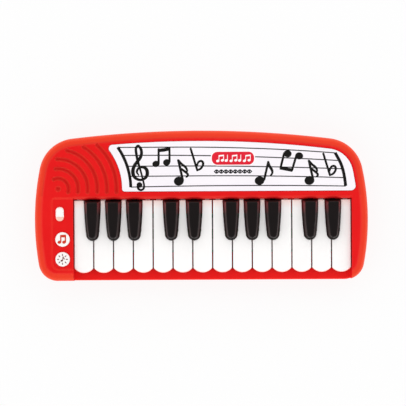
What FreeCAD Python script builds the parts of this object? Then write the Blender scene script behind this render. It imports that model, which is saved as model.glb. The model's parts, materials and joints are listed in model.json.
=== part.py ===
import FreeCAD, Part
import math
import os
import re
import Sketcher

# Toy electronic keyboard, in millimetres.  +Z is up, +X is to the player's right and the
# player sits on the -Y side.  The origin is under the middle of the case, on the surface
# that the rubber feet stand on.

Vector = FreeCAD.Vector

DIMENSIONS = (
    # the case's outline, seen from above
    ("case_width", 331.5, "across the widest point of the bowed sides"),
    ("case_depth", 149.0, "from the straight front to the bowed rear"),
    ("left_bow", 260.0, "radius of the bowed left side"),
    ("right_bow", 243.0, "radius of the bowed right side"),
    ("side_widest", -14.0, "Y of the widest point"),
    ("rear_bow", 1058.0, "radius of the bowed rear"),
    ("rear_apex", -4.0, "X of the rear's furthest point"),
    ("rear_corner", 37.0, "rear corner radius"),
    ("front_corner", 19.2, "front corner radius"),
    ("seam_step", 0.4, "how far the lower shell stands inside the upper one"),
    # the case's levels
    ("foot_height", 1.5, "how far the feet lift the case"),
    ("seam", 14.0, "where the two shells meet"),
    ("shoulder_low", 28.5, "where the rounded shoulder starts"),
    ("deck_top", 34.0, "the flat deck"),
    ("shoulder_wide", 8.5, "width of the shoulder"),
    ("wall", 2.4, "shell thickness"),
    ("belly_round", 5.0, "radius under the lower shell's edge"),
    # the key well
    ("well_left", -126.9, "left side"),
    ("well_right", 148.9, "right side"),
    ("well_rear", 6.4, "rear wall"),
    ("well_wall", 2.0, "thickness of the walls round the well"),
    ("window_top", 27.0, "the key tongues pass under the rear wall here"),
    ("rail_inner", -63.5, "rear edge of the front rail"),
    ("rail_top", 18.4, "top of the front rail"),
    # keys
    ("keys_left", -126.55, "left edge of the first key's share"),
    ("key_pitch", 19.65, "one white key's share of the width"),
    ("key_gap", 1.1, "gap between white keys"),
    ("key_rear", 5.4, "rear end of the white caps"),
    ("key_side_end", -62.1, "where a white key's round front starts"),
    ("key_front", -66.4, "foremost point of a white key"),
    ("key_bottom", 22.4, "lower edge of the caps"),
    ("white_top", 30.0, "top of the white keys"),
    ("black_waist", 29.0, "where a black key's sloped sides start"),
    ("black_top", 37.0, "top of the black keys"),
    ("black_slope", 16.0, "slope of a black key's sides, in degrees"),
    ("black_rear", 5.5, "rear end of the black keys"),
    ("black_margin", 0.6, "gap between a black key and its cut-out"),
    ("cut_rear_half", 8.2, "cut-out half width at the rear"),
    ("cut_mid_half", 7.55, "cut-out half width part way"),
    ("cut_mid_y", -13.5, "where that is"),
    ("cut_front_half", 5.95, "cut-out half width at its round front"),
    ("cut_front_y", -30.0, "where the round front starts"),
    ("cut_apex_y", -34.6, "foremost point of the cut-out"),
    ("triple_shift", 1.1, "how far the outer two of three black keys spread"),
    ("pair_shift", 1.55, "how far each of two black keys spreads"),
    ("key_skin", 1.5, "wall of a key cap"),
    ("hinge_y", 16.0, "line where the key tongues flex"),
    ("hinge_gap", 0.1, "clearance of tongue and rail at that line"),
    ("tongue_thick", 1.2, "thickness of a key's tongue"),
    ("white_tongue_half", 2.2, "half width of a white key's tongue"),
    ("black_tongue_half", 3.0, "half width of a black key's tongue"),
    ("black_tongue_low", 24.6, "underside of a black key's tongue"),
    ("plunger_low", 19.3, "lower end of the post under each key"),
    ("white_plunger_y", -39.0, "the row of posts under the white keys"),
    ("black_plunger_y", -18.0, "the row of posts under the black keys"),
    ("rail_back", 24.0, "rear edge of the key rails"),
    ("rail_seam", 24.0, "level between the two key rails"),
    ("rail_low", 21.8, "underside of the lower key rail"),
    ("rail_high", 26.4, "top of the upper key rail"),
    # the printed inlay
    ("inlay_inset", 10.4, "distance from the case's outline"),
    ("inlay_front", 13.75, "front edge"),
    ("inlay_recess", 1.0, "depth of its recess"),
    ("inlay_thick", 0.85, "thickness of the inlay"),
    ("inlay_gap", 0.4, "gap all round it"),
    # grille
    ("grille_x", -141.4, "common centre of the grille's arcs"),
    ("grille_y", 17.1, "common centre of the grille's arcs"),
    ("grille_foot", 13.8, "front end of every arc"),
    ("grille_first", 10.3, "radius of the innermost arc"),
    ("grille_step", 9.5, "from one arc to the next"),
    ("grille_wide", 5.0, "width of a groove"),
    ("grille_deep", 1.3, "depth of a groove"),
    ("grille_edge", 62.85, "radius of the inlay's edge beside the grille"),
    ("grille_dot", 3.3, "radius of the dimple in the centre"),
    # control panel
    ("panel_left", -149.0, "left edge of the sunken control panel"),
    ("panel_rear", 8.8, "rear edge"),
    ("panel_front", -64.2, "front edge"),
    ("panel_deep", 1.2, "depth"),
    ("panel_slope", 2.4, "width of its sloped edges"),
    ("button_x", -137.4, "both push buttons"),
    ("song_button_y", -32.95, "rear push button"),
    ("tempo_button_y", -52.55, "front push button"),
    ("button_half", 7.15, "button radius"),
    ("button_rise", 1.6, "how far a button stands above the panel"),
    ("knob_x", -139.95, "power slider"),
    ("knob_y", -7.8, "power slider when off"),
    ("knob_travel", 4.0, "how far it slides to the rear"),
    # boards
    ("board_thick", 1.6, "circuit board thickness"),
    ("key_board_low", 10.4, "underside of the board below the keys"),
    ("main_board_low", 14.0, "underside of the main board"),
    ("control_board_low", 20.4, "underside of the control board"),
    ("dome_top", 16.7, "top of the silicone domes when they are down"),
    # loudspeaker
    ("speaker_x", -114.0, "centre"),
    ("speaker_y", 42.5, "centre"),
    ("speaker_half", 20.0, "outer radius"),
    ("speaker_seat", 7.0, "the flange rests here"),
    # batteries
    ("cell_half", 7.1, "radius of an AA cell"),
    ("cell_pitch", 14.6, "from one cell to the next"),
    ("cell_row_y", 33.7, "the middle cell"),
    ("cell_mid", 11.4, "height of the cells' axes"),
    ("tray_left", 59.0, "inside of the tray"),
    ("tray_right", 117.0, "inside of the tray"),
    ("tray_front", 11.5, "inside of the tray"),
    ("tray_rear", 55.9, "inside of the tray"),
    ("tray_wall", 1.6, "wall of the tray"),
    ("tray_roof", 18.9, "inside of the tray's roof"),
    ("door_left", 56.3, "battery door"),
    ("door_right", 119.7, "battery door"),
    ("door_front", 9.2, "battery door"),
    ("door_rear", 58.2, "battery door"),
    ("door_thick", 1.4, "battery door"),
    ("door_gap", 0.3, "gap round the battery door"),
    ("door_pin_y", 8.5, "the line that the door turns on"),
    ("door_pin_high", 2.2, "the line that the door turns on"),
    ("lug_x", 88.0, "the door's screw lug"),
    ("lug_y", 60.0, "the door's screw lug"),
)

# Where the shells are screwed together: X, Y.
CASE_POSTS = ((-153, -58), (-153, 12), (-88, 61), (-20, 64), (48, 63),
              (134, 52), (153, 12), (157, -22), (153, -58))
FEET = ((-140, 30), (140, 30), (-140, -50), (140, -50))
RAIL_POSTS = ((-100, 20), (-45, 20), (20, 20), (133, 20))
KEY_BOARD_POSTS = ((-110, -27), (-20, -27), (60, -27), (135, -27))
MAIN_BOARD_POSTS = ((-76, 32), (36, 32), (-76, 52), (36, 52))
CONTROL_POSTS = ((-139, -65.5), (-145.5, 1.5))
SPEAKER_CLAMPS = (20, 200)
GRILLE_ENDS = (115, 97, 92, 76.5, 58.5, 48)

# The white keys' notes, left to right, and where the black key after each one stands.
NOTES = "FGABCDE" * 2
BLACK_SHIFT = {"F": "-triple_shift", "G": "0", "A": "triple_shift",
               "C": "-pair_shift", "D": "pair_shift"}
FAR = 400

doc = FreeCAD.newDocument("ToyKeyboard")
sheet = doc.addObject("Spreadsheet::Sheet", "Dims")
for row, (alias, number, meaning) in enumerate(DIMENSIONS, start=1):
    sheet.set("A%d" % row, alias)
    sheet.set("B%d" % row, str(number))
    sheet.set("C%d" % row, meaning)
    sheet.setAlias("B%d" % row, alias)
doc.recompute()

ALIASES = {alias for alias, number, meaning in DIMENSIONS}
NODES = []


def size(alias):
    """The number in one of the sheet's cells."""
    return float(sheet.get(alias))


def bind(thing, place, formula):
    """Tie a property to the sheet.  The words in the formula are the sheet's aliases."""
    def cell(word):
        return "Dims." + word.group() if word.group() in ALIASES else word.group()
    thing.setExpression(place, re.sub(r"[a-z_]+", cell, str(formula)))


# ---------------------------------------------------------------- outlines

def line(start, along):
    """A boundary line.  The object lies to the left of its direction."""
    return {"point": Vector(*start), "along": Vector(*along).normalize()}


def circle(centre, radius, hollow=False):
    """A boundary circle.  The object lies inside it, or outside a hollow one."""
    return {"centre": Vector(*centre), "radius": radius, "hollow": hollow}


def moved_in(curve, distance):
    """The same boundary, moved towards the object."""
    if "point" in curve:
        inward = Vector(-curve["along"].y, curve["along"].x, 0)
        return {"point": curve["point"] + inward * distance, "along": curve["along"]}
    step = distance if curve["hollow"] else -distance
    return {"centre": curve["centre"], "radius": curve["radius"] + step, "hollow": curve["hollow"]}


def meet(first, second, near):
    """The crossing of two boundaries that lies nearest to a given point."""
    if "point" in second:
        first, second = second, first
    if "point" in second:
        normal = Vector(-second["along"].y, second["along"].x, 0)
        reach = (second["point"] - first["point"]).dot(normal) / first["along"].dot(normal)
        return first["point"] + first["along"] * reach
    centre, radius = second["centre"], second["radius"]
    if "point" in first:
        along = first["along"]
        middle = first["point"] + along * (centre - first["point"]).dot(along)
        half = math.sqrt(radius ** 2 - (middle - centre).Length ** 2)
    else:
        gap = centre - first["centre"]
        reach = (gap.Length ** 2 + first["radius"] ** 2 - radius ** 2) / (2 * gap.Length)
        middle = first["centre"] + gap * (reach / gap.Length)
        along = Vector(-gap.y, gap.x, 0).normalize()
        half = math.sqrt(first["radius"] ** 2 - reach ** 2)
    return min((middle + along * half, middle - along * half), key=lambda p: (p - near).Length)


def foot(curve, point):
    """The point of a boundary nearest to a given point."""
    if "point" in curve:
        return curve["point"] + curve["along"] * (point - curve["point"]).dot(curve["along"])
    spoke = point - curve["centre"]
    return curve["centre"] + spoke * (curve["radius"] / spoke.Length)


def outline(curves, corners, inset=0.0):
    """A closed chain of lines and arcs, moved in by a distance that keeps every arc's centre.

    corners gives, for each curve, a point near its far end and the corner radius there.
    """
    rounds = []
    count = len(curves)
    for index, (near, radius) in enumerate(corners):
        pair = (curves[index], curves[(index + 1) % count])
        centre = meet(moved_in(pair[0], radius), moved_in(pair[1], radius), Vector(*near, 0))
        start, end = (foot(moved_in(curve, inset), centre) for curve in pair)
        rounds.append((start, end, centre, radius - inset))
    chain = []
    for index, (start, end, centre, radius) in enumerate(rounds):
        outward = (start + end) * 0.5 - centre
        chain.append(Part.Arc(start, centre + outward * (radius / outward.Length), end))
        curve = moved_in(curves[(index + 1) % count], inset)
        stop = rounds[(index + 1) % count][0]
        if "point" in curve:
            chain.append(Part.LineSegment(end, stop))
        else:
            chain.append(Part.Arc(end, foot(curve, (end + stop) * 0.5), stop))
    return chain


def case_sides():
    """The four bounding curves of the case: front, right, rear and left."""
    half = size("case_width") / 2
    front = line((0, -size("case_depth") / 2, 0), (1, 0, 0))
    right = circle((half - size("right_bow"), size("side_widest"), 0), size("right_bow"))
    rear = circle((size("rear_apex"), size("case_depth") / 2 - size("rear_bow"), 0), size("rear_bow"))
    left = circle((size("left_bow") - half, size("side_widest"), 0), size("left_bow"))
    return front, right, rear, left


def case_outline(inset):
    x, y = size("case_width") / 2, size("case_depth") / 2
    corners = (((x, -y), size("front_corner")), ((x, y), size("rear_corner")),
               ((-x, y), size("rear_corner")), ((-x, -y), size("front_corner")))
    return outline(case_sides(), corners, inset)


def inlay_outline(inset):
    """The white inlay follows the case, and curves round the grille on its left."""
    edge = size("inlay_inset")
    front, right, rear, left = case_sides()
    low = line((0, size("inlay_front"), 0), (1, 0, 0))
    beside_grille = circle((size("grille_x"), size("grille_y"), 0), size("grille_edge"), hollow=True)
    curves = (low, moved_in(right, edge), moved_in(rear, edge), beside_grille)
    corners = (((150, 18), 5.0), ((135, 55), size("rear_corner") - edge),
               ((-88, 58), 4.0), ((-76, 16), 3.0))
    return outline(curves, corners, inset)


def cut_out_outline(centre, rear, margin):
    """The tapered slot between two white keys; a margin makes it the black key's own outline."""
    def at(side, half, y):
        return Vector(centre + side * (size(half) - margin), y, 0)
    mid_y, front_y = size("cut_mid_y"), size("cut_front_y")
    apex = Vector(centre, size("cut_apex_y") + margin, 0)
    left = [at(-1, "cut_rear_half", rear), at(-1, "cut_mid_half", mid_y), at(-1, "cut_front_half", front_y)]
    right = [at(1, "cut_front_half", front_y), at(1, "cut_mid_half", mid_y), at(1, "cut_rear_half", rear)]
    return [Part.Arc(*left), Part.Arc(left[2], apex, right[0]), Part.Arc(*right),
            Part.LineSegment(right[2], left[0])]


def polygon(points):
    """Straight sides between points given as pairs."""
    corners = [Vector(*point, 0) for point in points]
    return [Part.LineSegment(a, b) for a, b in zip(corners, corners[1:] + corners[:1])]


# ---------------------------------------------------------------- features

def new_body(label):
    body = doc.addObject("PartDesign::Body", label)
    NODES.append(body)
    return body


def sketch_on(body, name, segments, level="0", plane="XY_Plane", chained=True):
    """A sketch on one of the body's own planes, lifted to a level.  A chain's ends are joined."""
    sketch = body.newObject("Sketcher::SketchObject", name)
    support = next(part for part in body.Origin.OriginFeatures if part.Role == plane)
    sketch.AttachmentSupport = [(support, "")]
    sketch.MapMode = "FlatFace"
    bind(sketch, "AttachmentOffset.Base.z", level)
    for segment in segments:
        sketch.addGeometry(segment, False)
    count = len(segments) if chained else 0
    for index in range(count):
        join(sketch, index, (index + 1) % count)
    return sketch


def join(sketch, first, second):
    """Make the touching ends of two sketch lines coincide."""
    ends = [(a, b) for a in (1, 2) for b in (1, 2)]
    gaps = {pair: (sketch.getPoint(first, pair[0]) - sketch.getPoint(second, pair[1])).Length
            for pair in ends}
    a, b = min(gaps, key=gaps.get)
    sketch.addConstraint(Sketcher.Constraint("Coincident", first, a, second, b))


def pad(body, name, segments, level, length, taper=None):
    """Material from a level up."""
    sketch = sketch_on(body, name + "Outline", segments, level)
    feature = body.newObject("PartDesign::Pad", name)
    feature.Profile = sketch
    bind(feature, "Length", length)
    if taper:
        bind(feature, "TaperAngle", taper)
    return feature


def pocket(body, name, segments, level, length):
    """A pocket from a level down."""
    sketch = sketch_on(body, name + "Outline", segments, level)
    feature = body.newObject("PartDesign::Pocket", name)
    feature.Profile = sketch
    bind(feature, "Length", length)
    return feature


def turned(body, name, profile):
    """A solid of revolution about the body's own Z axis; profile holds pairs of radius and height."""
    sketch = sketch_on(body, name + "Profile", polygon(profile), plane="XZ_Plane")
    feature = body.newObject("PartDesign::Revolution", name)
    feature.Profile = sketch
    feature.ReferenceAxis = (sketch, ["V_Axis"])
    feature.Angle = 360
    return feature


def block(body, name, x, y, z, cut=False):
    """A box between two corners; x, y and z are pairs of formulas."""
    feature = body.newObject("PartDesign::SubtractiveBox" if cut else "PartDesign::AdditiveBox", name)
    for side, axis, (low, high) in (("Length", "x", x), ("Width", "y", y), ("Height", "z", z)):
        bind(feature, side, "(%s) - (%s)" % (high, low))
        bind(feature, "Placement.Base." + axis, low)
    feature.Refine = False
    return feature


def post(body, name, x, y, z, radius, cut=False):
    """An upright cylinder; z is a pair of formulas."""
    kind = "PartDesign::SubtractiveCylinder" if cut else "PartDesign::AdditiveCylinder"
    feature = body.newObject(kind, name)
    bind(feature, "Radius", radius)
    bind(feature, "Height", "(%s) - (%s)" % (z[1], z[0]))
    for axis, place in (("x", x), ("y", y), ("z", z[0])):
        bind(feature, "Placement.Base." + axis, place)
    feature.Refine = False
    return feature


def rounds(body, name, places, z, radius, cut=False):
    """Upright cylinders of one size, made as one feature; places holds pairs of X and Y."""
    circles = [Part.Circle(Vector(x, y, 0), Vector(0, 0, 1), radius) for x, y in places]
    sketch = sketch_on(body, name + "Circles", circles, z[1] if cut else z[0], chained=False)
    feature = body.newObject("PartDesign::Pocket" if cut else "PartDesign::Pad", name)
    feature.Profile = sketch
    bind(feature, "Length", "(%s) - (%s)" % (z[1], z[0]))
    feature.Refine = False
    return feature


def around(centre, reach):
    """A pair of formulas at equal distances from a centre."""
    return "%s - %s" % (centre, reach), "%s + %s" % (centre, reach)


def edges_where(feature, wanted):
    doc.recompute()
    return ["Edge%d" % number for number, edge in enumerate(feature.Shape.Edges, start=1) if wanted(edge)]


def fillet(body, name, base, wanted, radius):
    """Round the edges of a feature that pass a test."""
    chosen = edges_where(base, wanted)
    if not chosen:
        raise ValueError(name + " found no edge")
    feature = body.newObject("PartDesign::Fillet", name)
    feature.Base = (base, chosen)
    bind(feature, "Radius", radius)
    return feature


def flat_at(level):
    """A test for edges that lie in one horizontal plane."""
    def test(edge):
        box = edge.BoundBox
        return abs(box.ZMin - level) < 1e-3 and abs(box.ZMax - level) < 1e-3
    return test


def upright(edge):
    """A test for straight vertical edges."""
    box = edge.BoundBox
    return box.ZLength > 1.0 and box.XLength < 1e-3 and box.YLength < 1e-3


def middle_of(edge):
    return edge.valueAt((edge.FirstParameter + edge.LastParameter) / 2)


def shoulder(body, name, base, level):
    """The sloped shoulder round the top of the case: wide across and shallow."""
    feature = body.newObject("PartDesign::Chamfer", name)
    feature.Base = (base, edges_where(base, flat_at(level)))
    feature.ChamferType = "Two distances"
    feature.FlipDirection = True
    bind(feature, "Size", "shoulder_wide")
    bind(feature, "Size2", "deck_top - shoulder_low")
    return feature


def take_away(body, name, tool):
    """Cut one body out of another."""
    NODES.remove(tool)
    feature = body.newObject("PartDesign::Boolean", name)
    feature.setObjects([tool])
    feature.Type = "Cut"
    return feature


def group(label, things):
    """Separate solids of one kind, kept as one node."""
    compound = doc.addObject("Part::Compound", label)
    compound.Links = things
    NODES.append(compound)
    return compound


def primitive(kind, name, place, turn=None, **sizes):
    """A Part primitive: its sizes and its place are formulas; turn is an axis and an angle."""
    thing = doc.addObject("Part::" + kind, name)
    if turn:
        thing.Placement.Rotation = FreeCAD.Rotation(Vector(*turn[0]), turn[1])
    for side, formula in sizes.items():
        bind(thing, side, formula)
    for axis, formula in zip("xyz", place):
        bind(thing, "Placement.Base." + axis, formula)
    return thing


def combined(kind, name, base, tool):
    thing = doc.addObject("Part::" + kind, name)
    thing.Base = base
    thing.Tool = tool
    return thing


def screw(name, x, y, seat, head_up, head_radius, shank_radius, shank):
    """A pan-head screw with a cross recess.  seat is the level under its head."""
    head_high = 1.6
    way = 1 if head_up else -1
    head_low = seat if head_up else "%s - %s" % (seat, head_high)
    head = primitive("Cylinder", name + "Head", (x, y, head_low), Radius=head_radius, Height=head_high)
    shank_low = "%s - %s" % (seat, shank) if head_up else seat
    stem = primitive("Cylinder", name + "Stem", (x, y, shank_low), Radius=shank_radius, Height=shank)
    whole = combined("Fuse", name + "Blank", head, stem)
    slot_low = "%s + %s" % (seat, way * head_high - 0.8)
    for turn, (long, wide) in enumerate(((2.6, 0.6), (0.6, 2.6))):
        arm = primitive("Box", "%sRecess%d" % (name, turn),
                        ("%s - %s" % (x, long / 2), "%s - %s" % (y, wide / 2), slot_low),
                        Length=long, Width=wide, Height=1.6)
        whole = combined("Cut", "%sCut%d" % (name, turn), whole, arm)
    return whole


# ---------------------------------------------------------------- the case

def case_cavity():
    """The hollow of the upper shell, less the walls round the key well and the screw posts."""
    tool = new_body("TopCavity")
    narrow = pad(tool, "Hollow", case_outline(size("wall")), "seam - 1", "deck_top - wall - seam + 1")
    shoulder(tool, "HollowShoulder", narrow, size("deck_top") - size("wall"))
    block(tool, "WellWalls", ("well_left - well_wall", "well_right + well_wall"),
          (-FAR, "well_rear + well_wall"), ("seam - 2", "deck_top"), cut=True)
    rounds(tool, "CasePosts", CASE_POSTS, ("seam", "deck_top"), 3.5, cut=True)
    rounds(tool, "ControlPosts", CONTROL_POSTS, ("control_board_low + board_thick", "deck_top"), 2.5,
           cut=True)
    return tool


def control_panel(body):
    """The sunken panel beside the keys: its edges slope, and are rounded above and below."""
    left, front, rear = size("panel_left"), size("panel_front"), size("panel_rear")
    right = size("well_left") + size("panel_slope")
    rear_round, front_round = 4.0, 8.0
    beyond = 50.0
    curves = (line((0, front, 0), (1, 0, 0)), line((right + beyond, 0, 0), (0, 1, 0)),
              line((0, rear, 0), (-1, 0, 0)), line((left, 0, 0), (0, -1, 0)))
    corners = (((right + beyond, front), 1.0), ((right + beyond, rear), 1.0),
               ((left, rear), rear_round), ((left, front), front_round))
    sunk = pocket(body, "Panel", outline(curves, corners), "deck_top", "panel_deep")
    bind(sunk, "TaperAngle", "0 deg - atan(panel_slope / panel_deep)")

    def well_side(edge):
        floor = flat_at(size("deck_top") - size("panel_deep"))
        return floor(edge) and abs(middle_of(edge).x - size("well_left")) < 0.01

    def rim(level):
        def test(edge):
            middle = middle_of(edge)
            across = left - 0.01 < middle.x < size("well_left") - 0.7
            return flat_at(level)(edge) and across and front - 0.01 < middle.y < rear + 0.01
        return test
    side = fillet(body, "WellSide", sunk, well_side, 0.6)
    upper = fillet(body, "PanelRim", side, rim(size("deck_top")), 1.8)
    fillet(body, "PanelFoot", upper, rim(size("deck_top") - size("panel_deep")), 1.2)


def grille(body):
    """Arcs of round-ended grooves about one centre, with a dimple in the middle."""
    deep = size("grille_deep")

    def ball(name, x, y, wide):
        radius = (wide ** 2 / 4 + deep ** 2) / (2 * deep)
        dimple = body.newObject("PartDesign::SubtractiveSphere", name)
        dimple.Radius = radius
        dimple.Placement.Base = Vector(x, y, size("deck_top") - deep + radius)
        return radius
    radius = ball("GrilleDot", size("grille_x"), size("grille_y"), 2 * size("grille_dot"))
    for ring, end in enumerate(GRILLE_ENDS):
        reach = size("grille_first") + ring * size("grille_step")
        start = math.degrees(math.asin((size("grille_foot") - size("grille_y")) / reach))
        for name, turn in (("Start", start), ("End", end)):
            x = size("grille_x") + reach * math.cos(math.radians(turn))
            y = size("grille_y") + reach * math.sin(math.radians(turn))
            radius = ball("Groove%s%d" % (name, ring), x, y, size("grille_wide"))
        cut = body.newObject("PartDesign::SubtractiveTorus", "Groove%d" % ring)
        cut.Placement.Rotation = FreeCAD.Rotation(Vector(0, 0, 1), start)
        bind(cut, "Radius1", "grille_first + %d * grille_step" % ring)
        cut.Radius2 = radius
        cut.Angle3 = end - start
        bind(cut, "Placement.Base.x", "grille_x")
        bind(cut, "Placement.Base.y", "grille_y")
        cut.Placement.Base.z = size("deck_top") - deep + radius


def top_case():
    body = new_body("top_case")
    outer = pad(body, "Shell", case_outline(0), "seam", "deck_top - seam")
    slope = shoulder(body, "Shoulder", outer, size("deck_top"))
    soft = fillet(body, "ShoulderRound", slope, flat_at(size("shoulder_low")), 7.0)
    fillet(body, "DeckCrease", soft, flat_at(size("deck_top")), 2.5)
    take_away(body, "Hollowed", case_cavity())

    well_x = ("well_left", "well_right")
    block(body, "Well", well_x, ("rail_inner", "well_rear"), (0, FAR), cut=True)
    block(body, "FrontStep", well_x, (-FAR, "rail_inner + 1"), ("rail_top", FAR), cut=True)
    block(body, "RailHollow", well_x, ("0 - case_depth / 2 + wall", "rail_inner - well_wall"),
          (0, "rail_top - well_wall"), cut=True)
    window = block(body, "TongueWindow", well_x, ("well_rear - 1", "well_rear + well_wall + 1"),
                   (0, "window_top"), cut=True)

    def rear_lip(edge):
        return flat_at(size("deck_top"))(edge) and abs(middle_of(edge).y - size("well_rear")) < 0.01

    def rail_front(edge):
        return flat_at(size("rail_top"))(edge) and middle_of(edge).y < 1 - size("case_depth") / 2
    lip = fillet(body, "RearLip", window, rear_lip, 4.0)
    fillet(body, "RailFront", lip, rail_front, 1.6)
    control_panel(body)
    pocket(body, "InlayRecess", inlay_outline(0), "deck_top", "inlay_recess")
    grille(body)

    holes = [(size("button_x"), size(row)) for row in ("song_button_y", "tempo_button_y")]
    rounds(body, "ButtonHoles", holes, ("seam", FAR), size("button_half") + 0.2, cut=True)
    block(body, "KnobSlot", around("knob_x", 2.4), ("knob_y - 2.7", "knob_y + 2.7 + knob_travel"),
          ("seam", FAR), cut=True)
    rounds(body, "PostBores", CASE_POSTS, (0, 25), 1.35, cut=True)
    rounds(body, "ControlBores", CONTROL_POSTS, (0, 29), 1.35, cut=True)
    return body


def clamp_places():
    """The screws beside the loudspeaker's flange."""
    reach = size("speaker_half") + 2.8
    turns = [math.radians(turn) for turn in SPEAKER_CLAMPS]
    return [(size("speaker_x") + reach * math.cos(turn), size("speaker_y") + reach * math.sin(turn))
            for turn in turns]


def bottom_case():
    body = new_body("bottom_case")
    edge = size("seam_step")
    outer = pad(body, "Shell", case_outline(edge), "foot_height", "seam - foot_height")
    fillet(body, "Belly", outer, flat_at(size("foot_height")), "belly_round")
    pocket(body, "Hollow", case_outline(edge + size("wall")), "seam", "seam - foot_height - wall")
    floor = "foot_height + 1"

    # what stands on the floor
    rounds(body, "CasePosts", CASE_POSTS, (floor, "seam"), 4.5)
    rounds(body, "MainPosts", MAIN_BOARD_POSTS, (floor, "main_board_low"), 3.0)
    rounds(body, "KeyBoardPosts", KEY_BOARD_POSTS, (floor, "key_board_low"), 3.0)
    for name, x in (("RailRibLeft", (-122, 53)), ("RailRibRight", (123, 144))):
        block(body, name, x, (19, 21), (floor, "rail_low"))
    rounds(body, "RailPosts", RAIL_POSTS, (floor, "rail_low"), 3.2)
    block(body, "WireNotch", (-64, -53), (18, 22), (15, FAR), cut=True)
    block(body, "KeyBed", (-125, 147), (-5.6, 8), (13.5, 16.5))
    for name, y in (("BedRibFront", (-5.6, -4.0)), ("BedRibRear", (6.4, 8))):
        block(body, name, (-125, 147), y, (floor, 14))
    post(body, "SpeakerRing", "speaker_x", "speaker_y", (floor, "speaker_seat + 0.9"), "speaker_half + 2")
    rounds(body, "ClampPosts", clamp_places(), (floor, "speaker_seat + 1.2"), 3.0)
    block(body, "DoorFrame", ("tray_left - 5.5", "tray_right + 5.5"), ("tray_front - 5.5", "tray_rear + 5.1"),
          (floor, "foot_height + wall + 1.5"))
    post(body, "LugBoss", "lug_x", "lug_y", (floor, 9), 4.6)
    block(body, "Tray", ("tray_left - tray_wall", "tray_right + tray_wall"),
          ("tray_front - tray_wall", "tray_rear + tray_wall"), (floor, "tray_roof + 1.5"))

    # what is cut from below
    block(body, "TrayHollow", ("tray_left", "tray_right"), ("tray_front", "tray_rear"), (0, "tray_roof"),
          cut=True)
    block(body, "DoorRecess", ("door_left - door_gap", "door_right + door_gap"),
          ("door_pin_y - 0.2", "door_rear + door_gap"), (0, "foot_height + door_thick + 0.1"), cut=True)
    post(body, "LugRecess", "lug_x", "lug_y", (0, "foot_height + door_thick + 0.1"), "4.5 + door_gap",
         cut=True)
    post(body, "LugBore", "lug_x", "lug_y", (0, 8), 2.0, cut=True)
    for name, x in (("TabPocketLeft", "tray_left + 12"), ("TabPocketRight", "tray_right - 12")):
        block(body, name, around(x, 5), ("door_pin_y - 1.5", "door_front"), (0, "door_pin_high + 1.4"),
              cut=True)
    rounds(body, "ScrewBores", CASE_POSTS, (0, "seam + 1"), 1.6, cut=True)
    rounds(body, "ScrewSeats", CASE_POSTS, (0, 8), 3.2, cut=True)
    rounds(body, "FootSeats", FEET, (0, "foot_height + 0.8"), 6.2, cut=True)
    post(body, "SpeakerMouth", "speaker_x", "speaker_y", ("foot_height + wall", FAR), "speaker_half - 3",
         cut=True)
    post(body, "SpeakerStep", "speaker_x", "speaker_y", ("speaker_seat", FAR), "speaker_half + 0.2", cut=True)
    slots = []
    for number in range(-3, 4):
        reach = math.sqrt(15 ** 2 - (4 * number) ** 2) - 1
        left, right = size("speaker_x") - reach, size("speaker_x") + reach
        middle = size("speaker_y") + 4 * number
        front, rear = middle - 0.9, middle + 0.9
        slots += polygon(((left, front), (right, front), (right, rear), (left, rear)))
    sketch = sketch_on(body, "SoundSlotsOutline", slots, "foot_height + wall + 1", chained=False)
    cut = body.newObject("PartDesign::Pocket", "SoundSlots")
    cut.Profile = sketch
    cut.Length = 10

    # pilot bores for the screws from above
    for name, places, top in (("MainPilots", MAIN_BOARD_POSTS, "main_board_low"),
                              ("KeyBoardPilots", KEY_BOARD_POSTS, "key_board_low"),
                              ("RailPilots", RAIL_POSTS, "rail_low"),
                              ("ClampPilots", clamp_places(), "speaker_seat + 1.2")):
        rounds(body, name, places, (4.5, "%s + 1" % top), 1.35, cut=True)
    return body


def staff_panel():
    body = new_body("staff_panel")
    pad(body, "Sheet", inlay_outline(size("inlay_gap")), "deck_top - inlay_recess", "inlay_thick")


# ---------------------------------------------------------------- the keys

def black_centre(index):
    """X of the black key after the given white key, or None where there is no black key."""
    if index < 0 or index >= len(NOTES) - 1 or NOTES[index] not in BLACK_SHIFT:
        return None
    shift = BLACK_SHIFT[NOTES[index]]
    sign = -1 if shift.startswith("-") else 1
    amount = 0 if shift == "0" else size(shift.lstrip("-"))
    return size("keys_left") + (index + 1) * size("key_pitch") + sign * amount


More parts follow.
